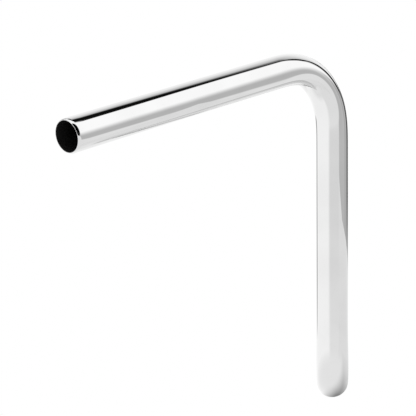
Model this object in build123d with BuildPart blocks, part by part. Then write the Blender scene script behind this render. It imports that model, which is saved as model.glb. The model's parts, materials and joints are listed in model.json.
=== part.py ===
from build123d import *

import os
from math import cos, pi, radians, sin, tan

# Ape hanger handlebar: one steel tube with four bends, the same on the left and on the right.
# The origin is the middle of the clamp run. +X goes to the right-hand grip, +Y forward, +Z up.
# Sizes are in millimetres and angles in degrees.

# Tube
tube_diameter = 25.4
tube_wall = 1.6

# Route of the tube's axis
base_width = 300.0  # from riser to riser
rise = 270.0  # from the clamp run up to the corner where riser and grip would meet
grip_run = 222.0  # straight length of each grip, from its bend to the tube's end
sweep_back = 41.0  # turn of the grip towards the rider, from straight out
grip_drop = 11.2  # fall of the grip below level
bend_radius = 48.0  # of the tube's axis, the same bending die for all four bends

# Section in the middle of a bend, where the wall is drawn in on the outside of the turn
outer_flattening = 1.8
inner_flattening = 0.7
side_swell = 0.5
section_count = 11  # sections from one end of a bend to the other

# Rim at the tube's two ends: rounded outside, with the sharp edge taken off inside
mouth_chamfer = 0.3
rim_land = 0.1  # flat ring left between the two

# Sizes that follow
tube_radius = tube_diameter / 2
bore_radius = tube_radius - tube_wall
rim_round = tube_wall - mouth_chamfer - rim_land
clamp_run = base_width - 2 * bend_radius
upper_turn = radians(90.0 + grip_drop)
grip_direction = Vector(
    cos(radians(grip_drop)) * cos(radians(sweep_back)),
    -cos(radians(grip_drop)) * sin(radians(sweep_back)),
    -sin(radians(grip_drop)),
)
middle = Vector(0, 0, 0)
lower_corner = Vector(base_width / 2, 0, 0)
upper_corner = Vector(base_width / 2, 0, rise)
grip_end = upper_corner + grip_direction * (bend_radius * tan(upper_turn / 2) + grip_run)

# The right half of the axis: straight runs joined by arcs
with BuildLine() as route:
    FilletPolyline(middle, lower_corner, upper_corner, grip_end, radius=bend_radius)
riser_and_grip = route.edges().filter_by(GeomType.LINE).sort_by_distance(middle)[1:]
bends = route.edges().filter_by(GeomType.CIRCLE)


def bent_section(bend, share, radius):
    """Section of a round tube at a share of the way round a bend, flattened most in the middle of the bend."""
    amount = sin(pi * share) ** 2
    outward = (bend.position_at(share) - bend.arc_center).normalized()
    along = bend.tangent_at(share)
    drawn_in = outward * (inner_flattening - outer_flattening) / 2 * amount
    half_width = radius + side_swell * amount
    half_depth = radius - (outer_flattening + inner_flattening) / 2 * amount
    section_plane = Plane(bend.position_at(share) + drawn_in, x_dir=along.cross(outward), z_dir=along)
    with BuildSketch(section_plane) as section:
        with BuildLine():
            for start in (45, 135, 225, 315):
                EllipticalCenterArc((0, 0), half_width, half_depth, start_angle=start, arc_size=90)
        make_face()
    return section.sketch


def bent_rod(radius):
    """Solid rod along the whole axis, round on its straight runs and flattened in its bends."""
    with BuildPart() as rod:
        for run in riser_and_grip:
            with BuildSketch(Plane(run.position_at(0), z_dir=run.tangent_at(0))):
                Circle(radius)
            extrude(amount=run.length)
        for bend in bends:
            shares = [step / (section_count - 1) for step in range(section_count)]
            sections = [bent_section(bend, share, radius) for share in shares]
            sweep(sections=sections, path=bend, multisection=True)
        mirror(about=Plane.YZ)
        with BuildSketch(Plane.YZ):
            Circle(radius)
        extrude(amount=clamp_run / 2, both=True)
    return rod.part


# The tube: a rod with its bore taken out, and both ends finished
outside = bent_rod(tube_radius)
bore = bent_rod(bore_radius)
with BuildPart() as handlebar:
    add(outside)
    add(bore, mode=Mode.SUBTRACT)
    end_rings = handlebar.faces().filter_by(GeomType.PLANE)
    fillet([ring.outer_wire().edge() for ring in end_rings], radius=rim_round)
    end_rings = handlebar.faces().filter_by(GeomType.PLANE)
    chamfer([ring.inner_wires()[0].edge() for ring in end_rings], length=mouth_chamfer)
handlebar.part.label = "handlebar"

os.makedirs("parts", exist_ok=True)
export_step(handlebar.part, "parts/handlebar.step")
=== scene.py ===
"""Ape hanger handlebar: one bent steel tube in bright plating, in a white studio."""

import json
import logging
import math
from dataclasses import dataclass
from enum import Enum
from typing import Any

import bmesh
import bpy
from mathutils import Euler, Matrix, Vector


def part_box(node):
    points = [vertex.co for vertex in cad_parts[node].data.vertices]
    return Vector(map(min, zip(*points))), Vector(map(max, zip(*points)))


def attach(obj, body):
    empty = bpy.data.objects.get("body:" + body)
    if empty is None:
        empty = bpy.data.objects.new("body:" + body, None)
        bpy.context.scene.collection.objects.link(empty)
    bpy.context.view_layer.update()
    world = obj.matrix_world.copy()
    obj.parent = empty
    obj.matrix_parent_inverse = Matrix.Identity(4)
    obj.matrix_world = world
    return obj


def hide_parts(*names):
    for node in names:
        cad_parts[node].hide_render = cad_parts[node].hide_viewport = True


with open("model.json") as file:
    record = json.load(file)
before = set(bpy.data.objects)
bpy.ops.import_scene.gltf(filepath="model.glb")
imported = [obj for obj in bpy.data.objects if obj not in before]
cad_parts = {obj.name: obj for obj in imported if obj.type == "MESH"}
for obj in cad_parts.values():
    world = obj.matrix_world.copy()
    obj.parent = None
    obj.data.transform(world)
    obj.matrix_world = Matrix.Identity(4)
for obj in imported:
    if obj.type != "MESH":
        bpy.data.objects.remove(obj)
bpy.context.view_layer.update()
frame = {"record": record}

log = logging.getLogger("handlebar")

Colour = tuple[float, float, float]
Limits = tuple[float | None, float | None]

MM = 0.001  # one millimetre in metres
UP = Vector((0.0, 0.0, 1.0))
WHITE = (1.0, 1.0, 1.0, 1.0)
GAMMA = 2.2  # power that turns a grey of the picture into light
MIRRORED = 0.68  # share of the light that the plating throws back, seen straight on


class Skin(Enum):
    """Material slots of the tube's mesh, by what covers the steel there."""

    PLATED = 0
    BARE = 1


class Signal:
    """One output socket, whose arithmetic adds Math nodes to its graph."""

    def __init__(self, graph: "Graph", socket: bpy.types.NodeSocket | None) -> None:
        """Wrap a socket of a graph, or nothing for a node that ends it."""
        self.graph = graph
        self.socket = socket

    def __add__(self, other: "Signal | float") -> "Signal":
        """Sum of two values."""
        return self.graph.math("ADD", self, other)

    def __radd__(self, other: float) -> "Signal":
        """Sum with a plain number on the left."""
        return self.graph.math("ADD", other, self)

    def __sub__(self, other: "Signal | float") -> "Signal":
        """Difference of two values."""
        return self.graph.math("SUBTRACT", self, other)

    def __rsub__(self, other: float) -> "Signal":
        """Difference with a plain number on the left."""
        return self.graph.math("SUBTRACT", other, self)

    def __mul__(self, other: "Signal | float") -> "Signal":
        """Product of two values."""
        return self.graph.math("MULTIPLY", self, other)

    def __rmul__(self, other: float) -> "Signal":
        """Product with a plain number on the left."""
        return self.graph.math("MULTIPLY", other, self)

    def __truediv__(self, other: "Signal | float") -> "Signal":
        """Quotient of two values."""
        return self.graph.math("DIVIDE", self, other)

    def __abs__(self) -> "Signal":
        """Size of a value, whatever its sign."""
        return self.graph.math("ABSOLUTE", self)


@dataclass(frozen=True)
class Noise:
    """A noise pattern that is fixed to the piece."""

    scale: float  # patches per metre
    detail: float  # octaves of finer noise


class Graph:
    """A node tree that is written as expressions."""

    def __init__(self, tree: bpy.types.NodeTree) -> None:
        """Take over a tree and empty it."""
        self.tree = tree
        tree.nodes.clear()

    def node(
        self,
        kind: str,
        settings: dict[str, Any] | None = None,
        sockets: dict[str | int, Any] | None = None,
        output: str | int = 0,
    ) -> Signal:
        """Add one node.

        Args:
            kind: The node's type, such as ShaderNodeMath.
            settings: Attributes of the node, set before its sockets.
            sockets: Values or signals for its inputs, by name or number.
            output: The output that is wanted, by name or number.

        Returns:
            The wanted output, wrapped.
        """
        made = self.tree.nodes.new(kind)
        for name, value in (settings or {}).items():
            setattr(made, name, value)
        for name, value in (sockets or {}).items():
            if isinstance(value, Signal):
                self.tree.links.new(value.socket, made.inputs[name])
            else:
                made.inputs[name].default_value = value
        return Signal(self, made.outputs[output] if made.outputs else None)

    def math(self, operation: str, *terms: Signal | float) -> Signal:
        """Add one Math node.

        Args:
            operation: The node's operation.
            terms: Its inputs, in order.

        Returns:
            The node's result.
        """
        return self.node("ShaderNodeMath", {"operation": operation}, dict(enumerate(terms)))

    def ramp(self, value: Signal, low: float, high: float, bottom: float = 0.0, top: float = 1.0) -> Signal:
        """Change smoothly from one number to another.

        Args:
            value: What is read.
            low: Reading at which the change starts.
            high: Reading at which it ends.
            bottom: Result up to the start.
            top: Result from the end on.

        Returns:
            The changed value.
        """
        sockets = {"Value": value, 1: low, 2: high, 3: bottom, 4: top}
        return self.node("ShaderNodeMapRange", {"interpolation_type": "SMOOTHSTEP"}, sockets)

    def place(self) -> Signal:
        """Point of the surface, in the piece's own axes."""
        return self.node("ShaderNodeTexCoord", output="Object")

    def axes(self, vector: Signal) -> tuple[Signal, Signal, Signal]:
        """Split a vector into its three parts.

        Args:
            vector: The vector.

        Returns:
            Its x, y and z.
        """
        x, y, z = (
            self.node("ShaderNodeSeparateXYZ", sockets={"Vector": vector}, output=axis) for axis in "XYZ"
        )
        return x, y, z

    def noise(self, pattern: Noise) -> Signal:
        """Add a noise pattern.

        Args:
            pattern: Its scale and detail.

        Returns:
            The noise, from 0 to 1.
        """
        sockets = {"Vector": self.place(), "Scale": pattern.scale, "Detail": pattern.detail}
        return self.node("ShaderNodeTexNoise", sockets=sockets)

    def mix(self, share: Signal, first: Colour, second: Colour) -> Signal:
        """Mix two colours.

        Args:
            share: Share of the second colour.
            first: The colour at a share of 0.
            second: The colour at a share of 1.

        Returns:
            The mixed colour.
        """
        sockets = {0: share, 6: (*first, 1.0), 7: (*second, 1.0)}
        return self.node("ShaderNodeMix", {"data_type": "RGBA"}, sockets, output=2)

    def glow(self, level: float) -> Signal:
        """Add an even white glow of a brightness."""
        return self.node("ShaderNodeEmission", sockets={"Color": WHITE, "Strength": level})

    def show(self, surface: Signal) -> None:
        """Send a finished surface to the material's output."""
        self.node("ShaderNodeOutputMaterial", sockets={"Surface": surface})


def new_material(name: str) -> tuple[bpy.types.Material, Graph]:
    """Start a material.

    Args:
        name: Name of the material.

    Returns:
        The material and its empty graph.
    """
    made = bpy.data.materials.new(name)
    made.use_nodes = True
    return made, Graph(made.node_tree)


@dataclass(frozen=True)
class ChromePlating:
    """Bright plating over polished steel, with a faint bloom, uneven polish and a slight ripple."""

    colour: Colour = (MIRRORED, MIRRORED, MIRRORED)
    bloom: Noise = Noise(scale=35.0, detail=4.0)
    bloom_edges: tuple[float, float] = (0.35, 0.75)  # of the noise, where the bloom starts and is full
    bloom_share: float = 0.96  # brightness of full bloom over that of clear plating
    roughness: float = 0.03
    haze: float = 0.03  # roughness that full bloom adds at most
    grain: Noise = Noise(scale=900.0, detail=2.0)
    ripple: Noise = Noise(scale=60.0, detail=2.0)
    ripple_depth: float = 0.01 * MM
    ripple_strength: float = 0.2

    def material(self) -> bpy.types.Material:
        """Build the material.

        Returns:
            The plating's material.
        """
        made, graph = new_material("chrome_plating")
        cloud = graph.ramp(graph.noise(self.bloom), *self.bloom_edges)
        grain = graph.noise(self.grain)
        bloom_colour = tuple(self.bloom_share * part for part in self.colour)
        relief = graph.node(
            "ShaderNodeBump",
            sockets={
                "Strength": self.ripple_strength,
                "Distance": self.ripple_depth,
                "Height": graph.noise(self.ripple),
            },
        )
        surface = graph.node(
            "ShaderNodeBsdfPrincipled",
            sockets={
                "Base Color": graph.mix(cloud, self.colour, bloom_colour),
                "Metallic": 1.0,
                "Roughness": self.roughness + self.haze * cloud * grain,
                "Normal": relief,
            },
        )
        graph.show(surface)
        return made


@dataclass(frozen=True)
class BareBore:
    """Unplated inside of the tube: dark drawn steel with a dull, mottled skin."""

    colour: Colour = (0.020, 0.019, 0.019)
    scale_colour: Colour = (0.007, 0.006, 0.006)
    metallic: float = 0.6
    roughness: tuple[float, float] = (0.5, 0.75)  # of the clear steel and of its scale
    mottle: Noise = Noise(scale=260.0, detail=5.0)
    mottle_edges: tuple[float, float] = (0.35, 0.7)  # of the noise, where the scale starts and is full
    relief_depth: float = 0.1 * MM
    relief_strength: float = 0.4

    def material(self) -> bpy.types.Material:
        """Build the material.

        Returns:
            The bore's material.
        """
        made, graph = new_material("bare_bore")
        mottle = graph.ramp(graph.noise(self.mottle), *self.mottle_edges)
        dull, duller = self.roughness
        relief = graph.node(
            "ShaderNodeBump",
            sockets={"Strength": self.relief_strength, "Distance": self.relief_depth, "Height": mottle},
        )
        surface = graph.node(
            "ShaderNodeBsdfPrincipled",
            sockets={
                "Base Color": graph.mix(mottle, self.colour, self.scale_colour),
                "Metallic": self.metallic,
                "Roughness": dull + (duller - dull) * mottle,
                "Normal": relief,
            },
        )
        graph.show(surface)
        return made


@dataclass(frozen=True)
class Bend:
    """One bend of the tube, whose curve tightens gradually at both ends, as a bending die leaves it."""

    corner: Vector  # where the axes of the two straight runs would meet
    along: Vector  # direction of the first run
    leaving: Vector  # direction of the second run
    radius: float  # in the middle of the bend
    ease: float  # length at each end over which the curve tightens
    steps: int

    @property
    def turn(self) -> float:
        """Angle between the two runs, in radians."""
        return self.along.angle(self.leaving)

    @property
    def inward(self) -> Vector:
        """Direction from the first run to the inside of the bend."""
        return (self.leaving - self.along * self.leaving.dot(self.along)).normalized()

    @property
    def axis(self) -> Vector:
        """Axis that the tube turns about, by the right-hand rule."""
        return self.along.cross(self.inward)

    @property
    def step(self) -> float:
        """Length of the tube's axis from one station to the next."""
        return (self.turn * self.radius + self.ease) / self.steps

    def heading(self, station: int) -> float:
        """Work out how far the tube has turned.

        Args:
            station: Number of the station, from 0 at the bend's start.

        Returns:
            The angle from the first run, in radians.
        """
        way = self.step * min(station, self.steps - station)
        eased = min(way, self.ease)
        angle = (way - eased + eased**2 / (2 * self.ease)) / self.radius
        return angle if 2 * station <= self.steps else self.turn - angle

    def arc(self, station: int) -> tuple[float, float]:
        """Work out the short arc from a station to the next.

        Args:
            station: Number of the station that it starts from.

        Returns:
            Its angle and its radius.
        """
        angle = self.heading(station + 1) - self.heading(station)
        return angle, self.step / angle

    def outward(self, station: int) -> Vector:
        """Direction to the outside of the bend at a station."""
        return Matrix.Rotation(self.heading(station), 3, self.axis) @ -self.inward

    def route(self) -> list[Vector]:
        """Follow the tube's axis round the bend.

        Returns:
            The axis's point at each station.
        """
        places = [Vector()]
        for station in range(self.steps):
            angle, radius = self.arc(station)
            way = Matrix.Rotation(self.heading(station) + angle / 2, 3, self.axis) @ self.along
            places.append(places[-1] + way * (2 * radius * math.sin(angle / 2)))
        reach = places[-1].dot(self.inward) / math.sin(self.turn)
        start = self.corner - self.along * reach
        return [start + place for place in places]

    @property
    def start(self) -> Vector:
        """Point of the tube's axis where the bend starts."""
        return self.route()[0]

    @property
    def end(self) -> Vector:
        """Point of the tube's axis where the bend ends."""
        return self.route()[-1]


@dataclass
class HandlebarTube:
    """The handlebar's one piece: a round tube, flattened in its bends, alike on the left and the right."""

    radius: float
    bore_radius: float
    clamp_run: float
    grip_point: Vector  # a point of the right-hand grip's axis
    grip_direction: Vector
    grip_reach: float  # from the grip point to the tube's end
    corner_reach: float = 48.0 * MM  # from the clamp run's end to the riser's axis
    bend_radius: float = 43.8 * MM  # in the middle of a bend
    bend_ease: float = 30.0 * MM  # length at each end of a bend over which it tightens
    outer_flattening: float = 1.8 * MM
    inner_flattening: float = 0.7 * MM
    side_swell: float = 0.5 * MM
    rim_round: float = 1.0 * MM  # across the wall
    rim_reach: float = 2.1 * MM  # along the grip
    rim_bevel: float = 1.5  # 1 for a rounded edge, 2 for a straight bevel
    rim_steps: int = 14
    mouth_chamfer: float = 0.3 * MM
    buffed_run: float = 7.0 * MM  # length over which polishing has worn the tube's end
    buffed_drop: float = 0.1 * MM
    buffed_steps: int = 8
    sides: int = 128
    bend_steps: int = 48
    seam_gap: float = 0.01 * MM  # points of the two halves closer than this are one
    smooth_angle: float = 40.0  # degrees between faces, above which an edge stays sharp

    @classmethod
    def from_record(cls, record: dict[str, Any]) -> "HandlebarTube":
        """Read the tube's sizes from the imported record's mounts.

        Args:
            record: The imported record.

        Returns:
            The tube, not yet built.
        """
        mounts = {mount["name"]: mount for mount in record["mounts"]}
        clamp, grip, mouth = mounts["clamp_section"], mounts["right_grip"], mounts["right_mouth"]
        return cls(
            radius=clamp["dims"]["r_mm"] * MM,
            bore_radius=mouth["dims"]["r_mm"] * MM,
            clamp_run=clamp["dims"]["length_mm"] * MM,
            grip_point=Vector(grip["pos_m"]),
            grip_direction=Vector(grip["axis"]).normalized(),
            grip_reach=(mouth["dims"]["length_mm"] * MM + cls.mouth_chamfer) / 2,
        )

    @property
    def tube_end(self) -> Vector:
        """Middle of the right-hand mouth."""
        return self.grip_point + self.grip_direction * self.grip_reach

    def bends(self) -> tuple[Bend, Bend]:
        """Work out the right-hand half's two bends.

        Returns:
            The lower bend and the upper one.
        """
        across = Vector((1.0, 0.0, 0.0))
        lower_corner = across * (self.clamp_run / 2 + self.corner_reach)
        to_corner = (lower_corner.x - self.grip_point.x) / self.grip_direction.x
        upper_corner = self.grip_point + self.grip_direction * to_corner
        curve = (self.bend_radius, self.bend_ease, self.bend_steps)
        lower = Bend(lower_corner, across, UP, *curve)
        upper = Bend(upper_corner, UP, self.grip_direction, *curve)
        return lower, upper

    def build(self) -> bpy.types.Object:
        """Model the right-hand half as one skin, out along the outside and back in the bore, and mirror it.

        Returns:
            The finished object.
        """
        bpy.ops.object.select_all(action="DESELECT")
        bpy.ops.mesh.primitive_circle_add(
            vertices=self.sides, radius=self.radius, rotation=(0.0, math.pi / 2, 0.0)
        )
        bpy.ops.object.transform_apply(location=True, rotation=True, scale=True)
        tube = bpy.context.object
        tube.name = tube.data.name = "handlebar_tube"
        bpy.ops.object.mode_set(mode="EDIT")
        bpy.ops.mesh.select_all(action="SELECT")
        self._draw_outside()
        self._draw_rim()
        plated_faces = len(bmesh.from_edit_mesh(tube.data).faces)
        self._draw_bore()
        bpy.ops.object.mode_set(mode="OBJECT")
        for face in tube.data.polygons[plated_faces:]:
            face.material_index = Skin.BARE.value
        self._mirror(tube)
        return tube

    def dress(self, tube: bpy.types.Object) -> None:
        """Give the tube its finishes and smooth shading.

        Args:
            tube: The built object.
        """
        finishes = {Skin.PLATED: ChromePlating(), Skin.BARE: BareBore()}
        for skin in Skin:
            tube.data.materials.append(finishes[skin].material())
        bpy.ops.object.shade_smooth_by_angle(angle=math.radians(self.smooth_angle))
        # The long straight faces set the normals where they meet a bend or a rim.
        normals = tube.modifiers.new("normals", "WEIGHTED_NORMAL")
        normals.keep_sharp = True
        bpy.ops.object.modifier_apply(modifier=normals.name)

    def _draw_outside(self) -> None:
        """Draw the outside from the clamp run's middle to the start of the worn end."""
        lower, upper = self.bends()
        self._draw_run(lower.start)
        self._draw_bend(lower, self.radius)
        self._draw_run(upper.start - lower.end)
        self._draw_bend(upper, self.radius)
        self._draw_run(self.tube_end - upper.end - self.grip_direction * (self.rim_reach + self.buffed_run))

    def _draw_rim(self) -> None:
        """Draw the worn end, the rounded rim and the flat ring round the mouth."""
        outline: list[tuple[float, float]] = []  # places from the tube's end outwards, and radii
        for count in range(1, self.buffed_steps + 1):
            share = count / self.buffed_steps
            along = self.buffed_run * (share - 1) - self.rim_reach
            outline.append((along, self.radius - self.buffed_drop * share**2))
        worn = self.radius - self.buffed_drop
        for count in range(1, self.rim_steps + 1):
            angle = math.pi / 2 * count / self.rim_steps
            out, across = math.sin(angle) ** self.rim_bevel, max(math.cos(angle), 0.0) ** self.rim_bevel
            outline.append((self.rim_reach * (out - 1), worn - self.rim_round * (1 - across)))
        outline.append((0.0, self.bore_radius + self.mouth_chamfer))
        place, size = -self.rim_reach - self.buffed_run, self.radius
        for new_place, new_size in outline:
            self._draw_ring(new_place - place, new_place, new_size / size)
            place, size = new_place, new_size

    def _draw_bore(self) -> None:
        """Draw the mouth's chamfer and the bore, back to the clamp run's middle."""
        lower, upper = self.bends()
        shrink = self.bore_radius / (self.bore_radius + self.mouth_chamfer)
        self._draw_ring(-self.mouth_chamfer, -self.mouth_chamfer, shrink)
        self._draw_run(upper.end - self.tube_end + self.grip_direction * self.mouth_chamfer)
        self._draw_bend(upper, self.bore_radius, back=True)
        self._draw_run(lower.end - upper.start)
        self._draw_bend(lower, self.bore_radius, back=True)
        self._draw_run(-lower.start)

    def _draw_ring(self, step: float, place: float, factor: float) -> None:
        """Draw the open end along the grip and change its size.

        Args:
            step: Way along the grip, outwards.
            place: Place it reaches, from the tube's end outwards.
            factor: New size over the old one.
        """
        self._draw_run(self.grip_direction * step)
        middle = self.tube_end + self.grip_direction * place
        bpy.ops.transform.resize(value=(factor,) * 3, center_override=middle)

    def _draw_run(self, way: Vector) -> None:
        """Draw the open end out along a straight run."""
        bpy.ops.mesh.extrude_region_move(TRANSFORM_OT_translate={"value": way})

    def _draw_bend(self, bend: Bend, radius: float, back: bool = False) -> None:
        """Draw the open end round a bend, and flatten each ring by its share.

        Args:
            bend: The bend to follow.
            radius: Radius of the skin where the tube is round.
            back: True to follow the bend from its end to its start.
        """
        route = bend.route()
        stations = range(bend.steps - 1, -1, -1) if back else range(bend.steps)
        spin_axis = bend.axis if back else -bend.axis  # spin turns the other way about its axis
        width = depth = radius
        drawn_in = 0.0
        for station in stations:
            angle, arc_radius = bend.arc(station)
            centre = route[station] - bend.outward(station) * arc_radius
            bpy.ops.mesh.spin(steps=1, angle=angle, center=centre, axis=spin_axis)
            reached = station if back else station + 1
            amount = math.sin(math.pi * reached / bend.steps) ** 2
            new_width = radius + self.side_swell * amount
            new_depth = radius - (self.outer_flattening + self.inner_flattening) / 2 * amount
            new_drawn_in = (self.outer_flattening - self.inner_flattening) / 2 * amount
            outward = bend.outward(reached)
            middle = route[reached] - outward * drawn_in
            axes = Matrix((bend.axis, outward, bend.axis.cross(outward))).transposed()
            bpy.ops.transform.resize(
                value=(new_width / width, new_depth / depth, 1.0),
                orient_type="GLOBAL",
                orient_matrix=axes,
                orient_matrix_type="GLOBAL",
                constraint_axis=(True, True, True),
                center_override=middle,
            )
            bpy.ops.transform.translate(value=outward * (drawn_in - new_drawn_in))
            width, depth, drawn_in = new_width, new_depth, new_drawn_in

    def _mirror(self, tube: bpy.types.Object) -> None:
        """Add the left-hand half, close the seam and turn all faces outwards.

        Args:
            tube: The right-hand half.
        """
        mirror = tube.modifiers.new("left_half", "MIRROR")
        mirror.use_axis = (True, False, False)
        mirror.use_clip = mirror.use_mirror_merge = True
        mirror.merge_threshold = self.seam_gap
        bpy.ops.object.modifier_apply(modifier=mirror.name)
        bpy.ops.object.mode_set(mode="EDIT")
        bpy.ops.mesh.select_all(action="SELECT")
        bpy.ops.mesh.remove_doubles(threshold=self.seam_gap)
        bpy.ops.mesh.normals_make_consistent(inside=False)
        bpy.ops.object.mode_set(mode="OBJECT")


@dataclass(frozen=True)
class PhotoCamera:
    """The photograph's viewpoint, in the bar's own frame, with angles in degrees."""

    place: tuple[float, float, float] = (1.50849, -0.00453, 0.26278)  # in metres
    bearing: float = 183.9762  # of its line of sight, round from +X by way of +Y
    tilt: float = -4.7657  # of that line above level
    roll: float = -0.4186
    lens: float = 147.669  # in millimetres, as is the sensor's width
    sensor: float = 36.0

    def build(self) -> bpy.types.Object:
        """Add the camera and look through it.

        Returns:
            The camera.
        """
        data = bpy.data.cameras.new("photo_camera")
        data.lens, data.sensor_width = self.lens, self.sensor
        camera = bpy.data.objects.new("photo_camera", data)
        bpy.context.scene.collection.objects.link(camera)
        # An unturned camera looks straight down, with +Y at the top of its picture.
        aim = Euler((math.radians(90.0 + self.tilt), 0.0, math.radians(self.bearing - 90.0)))
        roll = Matrix.Rotation(math.radians(self.roll), 4, "Z")
        camera.matrix_world = Matrix.Translation(self.place) @ aim.to_matrix().to_4x4() @ roll
        bpy.context.scene.camera = camera
        return camera


def lit(grey: float) -> float:
    """Brightness, on a linear scale, that the plating mirrors as a grey."""
    return grey**GAMMA / MIRRORED


def glowing_paper(name: str, level: float) -> bpy.types.Material:
    """Build an evenly lit white paper.

    Args:
        name: Name of the material.
        level: Its brightness.

    Returns:
        The material.
    """
    made, graph = new_material(name)
    graph.show(graph.glow(level))
    return made


def cut_card(place: Vector, beyond: Vector) -> None:
    """Cut the active card along a straight line.

    Args:
        place: A point of the cut.
        beyond: Direction, square to the cut, in which all is taken off.
    """
    bpy.ops.object.mode_set(mode="EDIT")
    bpy.ops.mesh.select_all(action="SELECT")
    bpy.ops.mesh.bisect(plane_co=place, plane_no=beyond, clear_outer=True)
    bpy.ops.object.mode_set(mode="OBJECT")


def show_to_plating(card: bpy.types.Object, material: bpy.types.Material) -> None:
    """Give a card its material, and leave it to mirrored rays alone.

    Args:
        card: The card.
        material: What it is made of.
    """
    card.visible_camera = card.visible_shadow = card.visible_diffuse = False
    card.data.materials.append(material)


@dataclass(frozen=True)
class Zone:
    """A soft-edged part of the bar's surroundings, as the plating mirrors it.

    Bearings go round from +X by way of +Y, from -90 to 270, and heights up from level, both in degrees.
    """

    grey: float  # as the plating shows it, from 0, black, to 1, paper white
    bearings: Limits = (None, None)
    bearing_soft: float = 4.0
    heights: Limits = (None, None)
    height_soft: float = 4.0
    lean: float = 0.0  # bearing that its upright edges lose for each degree of height
    slope: float = 0.0  # height that its level edges lose for each degree of bearing

    def paint(self, graph: Graph, under: Signal | float, bearing: Signal, height: Signal) -> Signal:
        """Paint the zone over what lies under it.

        Args:
            graph: Graph of the surroundings.
            under: Brightness so far.
            bearing: Bearing of the mirrored ray.
            height: Height of the mirrored ray.

        Returns:
            Brightness with the zone painted in.
        """
        mask: Signal | float = 1.0
        reads = (
            (bearing + self.lean * height, self.bearings, self.bearing_soft / 2),
            (height + self.slope * bearing, self.heights, self.height_soft / 2),
        )
        for value, (low, high), soft in reads:
            if low is not None:
                mask = graph.ramp(value, low - soft, low + soft) * mask
            if high is not None:
                mask = graph.ramp(value, high - soft, high + soft, 1.0, 0.0) * mask
        return under + mask * (lit(self.grey) - under)


@dataclass(frozen=True)
class FillCard:
    """Upright pale card in front of the bar, with a slanted top edge, which only the plating sees."""

    name: str = "fill_card"
    grey: float = 0.85
    distance: float = 100.0 * MM  # in front of the risers
    ends: tuple[float, float] = (-300.0 * MM, 240.0 * MM)  # left and right, from the bar's middle
    top: float = 147.5 * MM  # at its right-hand end
    slope: float = 0.25  # rise of the top edge along the card
    sunk: float = 60.0 * MM  # from the floor down to its lower edge

    def build(self, lowest: float) -> bpy.types.Object:
        """Model the card.

        Args:
            lowest: Height of the floor.

        Returns:
            The card.
        """
        left, right = self.ends
        bottom = lowest - self.sunk
        bpy.ops.object.select_all(action="DESELECT")
        bpy.ops.mesh.primitive_plane_add(size=1.0, rotation=(math.pi / 2, 0.0, 0.0))
        card = bpy.context.object
        card.name = self.name
        card.scale = (right - left, self.top - bottom, 1.0)
        card.location = ((left + right) / 2, self.distance, (self.top + bottom) / 2)
        bpy.ops.object.transform_apply(location=True, rotation=True, scale=True)
        cut_card(Vector((right, self.distance, self.top)), Vector((-self.slope, 0.0, 1.0)))
        show_to_plating(card, glowing_paper(self.name, lit(self.grey)))
        return card


@dataclass(frozen=True)
class ContactShade:
    """Soft shade on the floor round the bar's foot, which only the plating sees."""

    grey: float = 0.47
    half_run: float = 111.0 * MM  # from the middle to where its ends start to fade
    end_fade: float = 35.0 * MM
    spread: float = 0.52  # way that its ends go outwards for each step forward
    line: float = 6.7 * MM  # from the clamp run's middle forward to its darkest line
    back_fade: float = 19.5 * MM
    front_fade: float = 29.0 * MM  # way forward in which about two thirds of it is lost
    reach: float = 96.0 * MM  # from its darkest line to its front edge
    pool_shade_grey: float = 0.88  # of the paler painted shade round each riser's foot
    pool_core: float = 25.0 * MM
    pool_reach: float = 100.0 * MM

    def build(self, lowest: float, riser: float) -> bpy.types.Object:
        """Model the shade.

        Args:
            lowest: Height of the floor.
            riser: Way from the middle to each riser.

        Returns:
            The shade.
        """
        half_width = max(self.half_run + self.end_fade + self.spread * self.reach, riser + self.pool_reach)
        back, front = -self.pool_reach, self.line + self.reach
        bpy.ops.object.select_all(action="DESELECT")
        bpy.ops.mesh.primitive_plane_add(size=1.0, location=(0.0, (back + front) / 2, lowest))
        shade = bpy.context.object
        shade.name = "contact_shade"
        shade.scale = (2 * half_width, front - back, 1.0)
        bpy.ops.object.transform_apply(location=True, rotation=True, scale=True)
        show_to_plating(shade, self._material(riser))
        return shade

    def _material(self, riser: float) -> bpy.types.Material:
        """Build two greys, one over the other, that fade out towards their edges.

        Args:
            riser: Way from the middle to each riser.

        Returns:
            The material.
        """
        made, graph = new_material("contact_shade")
        x, y, _ = graph.axes(graph.place())
        across = abs(x) - riser
        from_riser = graph.math("SQRT", across * across + y * y)
        # A paler painted shade round each riser's foot, with the darker painted shadow along the clamp run
        # laid over it.
        pool = graph.ramp(from_riser, self.pool_core, self.pool_reach, 1.0, 0.0)
        past = y - self.line
        ends = graph.ramp(abs(x) - self.half_run - self.spread * past, 0.0, self.end_fade, 1.0, 0.0)
        back = graph.ramp(past, -self.back_fade, 0.0)
        front = graph.math("EXPONENT", past / -self.front_fade)
        surface = graph.node("ShaderNodeBsdfTransparent")
        for grey, amount in ((self.pool_shade_grey, pool), (self.grey, ends * back * front)):
            sockets = {0: amount, 1: surface, 2: graph.glow(lit(grey))}
            surface = graph.node("ShaderNodeMixShader", sockets=sockets)
        graph.show(surface)
        return made


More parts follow.
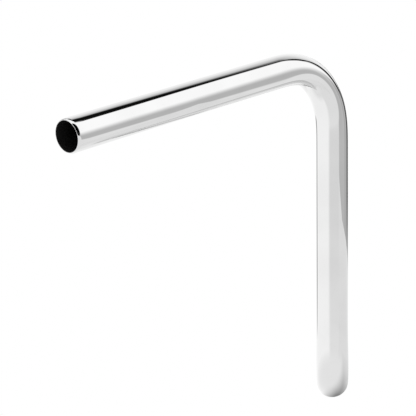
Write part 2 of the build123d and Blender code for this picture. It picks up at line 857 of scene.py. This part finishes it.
@dataclass(frozen=True)
class DarkFlag:
    """Round black card with a soft edge beyond the right-hand mouth, which only the plating sees."""

    radius: float = 78.0 * MM
    core: float = 66.0 * MM  # radius up to which it is full black
    sides: int = 64
    distance: float = 80.0 * MM
    bearing: float = 15.0  # of the card from the mouth, in degrees
    height: float = 24.0  # of the card above the mouth, in degrees
    foot: float = 10.0 * MM  # from the mouth's middle down to the card's straight lower edge

    def build(self, mouth: Vector) -> bpy.types.Object:
        """Model the card.

        Args:
            mouth: Middle of the right-hand mouth.

        Returns:
            The card.
        """
        turn, lift = math.radians(self.bearing), math.radians(self.height)
        away = Vector((math.cos(lift) * math.cos(turn), math.cos(lift) * math.sin(turn), math.sin(lift)))
        middle = mouth + away * self.distance
        bpy.ops.object.select_all(action="DESELECT")
        bpy.ops.mesh.primitive_circle_add(
            vertices=self.sides,
            radius=self.radius,
            fill_type="NGON",
            location=middle,
            rotation=away.to_track_quat("Z", "Y").to_euler(),
        )
        bpy.ops.object.transform_apply(location=True, rotation=True, scale=True)
        flag = bpy.context.object
        flag.name = "dark_flag"
        cut_card(mouth - UP * self.foot, -UP)
        show_to_plating(flag, self._material(middle))
        return flag

    def _material(self, middle: Vector) -> bpy.types.Material:
        """Build a black that fades out towards the edge.

        Args:
            middle: Middle of the card.

        Returns:
            The material.
        """
        made, graph = new_material("dark_flag")
        sockets = {0: graph.place(), 1: middle}
        gap = graph.node("ShaderNodeVectorMath", {"operation": "DISTANCE"}, sockets, output="Value")
        fade = graph.ramp(gap, self.core, self.radius)
        clear = graph.node("ShaderNodeBsdfTransparent")
        graph.show(graph.node("ShaderNodeMixShader", sockets={0: fade, 1: graph.glow(0.0), 2: clear}))
        return made


@dataclass(frozen=True)
class Studio:
    """White floor, with cards, walls, panels and dark gaps all round that only the plating sees.

    The zones are painted in the order in which they stand here, each over those before it.
    """

    floor_size: float = 6.0
    floor_cuts: int = 4
    card: FillCard = FillCard()
    card_end: FillCard = FillCard(
        "fill_card_end", ends=(170.0 * MM, 240.0 * MM), top=173.0 * MM, slope=0.66
    )
    shade: ContactShade = ContactShade()
    flag: DarkFlag = DarkFlag()
    left_floor: float = 0.865  # grey of what no zone covers
    left_wall: Zone = Zone(0.938, heights=(-68.0, None), height_soft=30.0)
    right_floor: Zone = Zone(0.865, bearings=(-18.0, 146.0), bearing_soft=22.0)
    front_table: Zone = Zone(
        0.832, bearings=(-18.0, 146.0), bearing_soft=22.0, heights=(-7.5, None), height_soft=6.0
    )
    front_light: Zone = Zone(
        1.03, bearings=(-60.0, 60.0), bearing_soft=20.0, heights=(2.0, None), height_soft=6.0
    )
    rear_gap_left: Zone = Zone(
        0.11, bearings=(238.0, None), bearing_soft=10.0, heights=(12.0, 34.0), height_soft=8.0
    )
    rear_gap_right: Zone = Zone(
        0.11, bearings=(None, -42.0), bearing_soft=10.0, heights=(12.0, 34.0), height_soft=8.0
    )
    left_gap: Zone = Zone(0.42, bearings=(217.0, 229.0), bearing_soft=8.0, heights=(-9.0, 50.0))
    backdrop: Zone = Zone(
        0.898, bearings=(150.0, 200.0), bearing_soft=12.0, heights=(-40.0, None), height_soft=12.0
    )
    backdrop_top: Zone = Zone(0.455, bearings=(100.0, 235.0), heights=(54.0, None), height_soft=40.0)
    back_gap: Zone = Zone(
        0.01, bearings=(104.0, 153.0), bearing_soft=2.1, heights=(6.0, 72.0), height_soft=6.0, lean=0.551
    )
    back_gap_top: Zone = Zone(
        0.01, bearings=(80.0, 124.0), bearing_soft=1.0, heights=(24.0, 72.0), height_soft=6.0, lean=-0.19
    )
    back_gap_foot: Zone = Zone(
        0.34, bearings=(129.0, 181.0), bearing_soft=6.0, heights=(-6.6, 8.0), height_soft=5.0
    )
    top_gap: Zone = Zone(
        0.078, bearings=(100.0, 235.0), heights=(44.8, None), height_soft=6.2, slope=-0.068
    )
    side_panel_foot: Zone = Zone(
        0.695, bearings=(53.0, 125.0), bearing_soft=6.0, heights=(7.2, 70.0), slope=0.28
    )
    side_panel: Zone = Zone(
        0.98, bearings=(52.0, 127.8), bearing_soft=3.0, heights=(6.5, None), height_soft=26.0, lean=0.273
    )
    side_panel_end: Zone = Zone(
        0.65, bearings=(104.0, 124.0), bearing_soft=10.0, heights=(-12.0, 9.0), height_soft=8.0
    )
    side_panel_top: Zone = Zone(
        0.98, bearings=(30.0, 118.6), bearing_soft=2.9, heights=(20.0, None), height_soft=10.0, lean=-0.011
    )
    side_panel_corner: Zone = Zone(
        0.98,
        bearings=(30.0, 78.4),
        bearing_soft=5.7,
        heights=(44.0, 95.0),
        height_soft=2.5,
        lean=-0.871,
        slope=0.303,
    )
    top_light: Zone = Zone(0.985, bearings=(-60.0, 126.0), bearing_soft=10.0, heights=(62.0, None))

    def build(self, lowest: float, riser: float, mouth: Vector) -> None:
        """Add the floor, the cards and the light.

        Args:
            lowest: Height of the bar's lowest point.
            riser: Way from the middle to each riser.
            mouth: Middle of the right-hand mouth.
        """
        bpy.context.scene.view_settings.view_transform = "Standard"
        pieces = (
            self._floor(lowest),
            self.card.build(lowest),
            self.card_end.build(lowest),
            self.shade.build(lowest, riser),
            self.flag.build(mouth),
        )
        for piece in pieces:
            log.info("%s", piece.name)
        self._light()

    def _floor(self, lowest: float) -> bpy.types.Object:
        """Model the floor, which the plating doesn't see.

        Args:
            lowest: Height of the floor.

        Returns:
            The floor.
        """
        bpy.ops.object.select_all(action="DESELECT")
        bpy.ops.mesh.primitive_grid_add(
            x_subdivisions=self.floor_cuts,
            y_subdivisions=self.floor_cuts,
            size=self.floor_size,
            location=(0.0, 0.0, lowest),
        )
        bpy.ops.object.transform_apply(location=True, rotation=True, scale=True)
        floor = bpy.context.object
        floor.name = "studio_floor"
        floor.visible_glossy = False
        floor.data.materials.append(glowing_paper("white_paper", 1.0))
        return floor

    def _light(self) -> None:
        """Paint the surroundings by direction, and keep the plain background white."""
        world = bpy.data.worlds.new("studio")
        bpy.context.scene.world = world
        world.use_nodes = True
        graph = Graph(world.node_tree)
        x, y, z = graph.axes(graph.node("ShaderNodeTexCoord", output="Generated"))
        degrees = math.degrees(1.0)
        # The jump from 270 to -90 lies straight behind the bar, where the two rear gaps meet.
        bearing = graph.math("ARCTAN2", -1.0 * x, y) * degrees + 90.0
        height = graph.math("ARCSINE", z) * degrees
        level: Signal | float = lit(self.left_floor)
        zones = [value for value in vars(self).values() if isinstance(value, Zone)]
        for zone in zones:
            level = zone.paint(graph, level, bearing, height)
        seen = graph.node("ShaderNodeLightPath", output="Is Camera Ray")
        strength = level * (1 - seen) + seen
        light = graph.node("ShaderNodeBackground", sockets={"Color": WHITE, "Strength": strength})
        graph.node("ShaderNodeOutputWorld", sockets={"Surface": light})


def main() -> None:
    """Build the handlebar, its studio and its camera."""
    logging.basicConfig(level=logging.INFO, format="%(message)s")
    handlebar = HandlebarTube.from_record(frame["record"])
    tube = handlebar.build()
    handlebar.dress(tube)
    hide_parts("handlebar")
    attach(tube, "root")
    log.info("%s: %d faces", tube.name, len(tube.data.polygons))
    riser = handlebar.bends()[0].corner.x
    Studio().build(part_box("handlebar")[0].z, riser, handlebar.tube_end)
    log.info("%s", PhotoCamera().build().name)


if __name__ == "__main__":
    main()
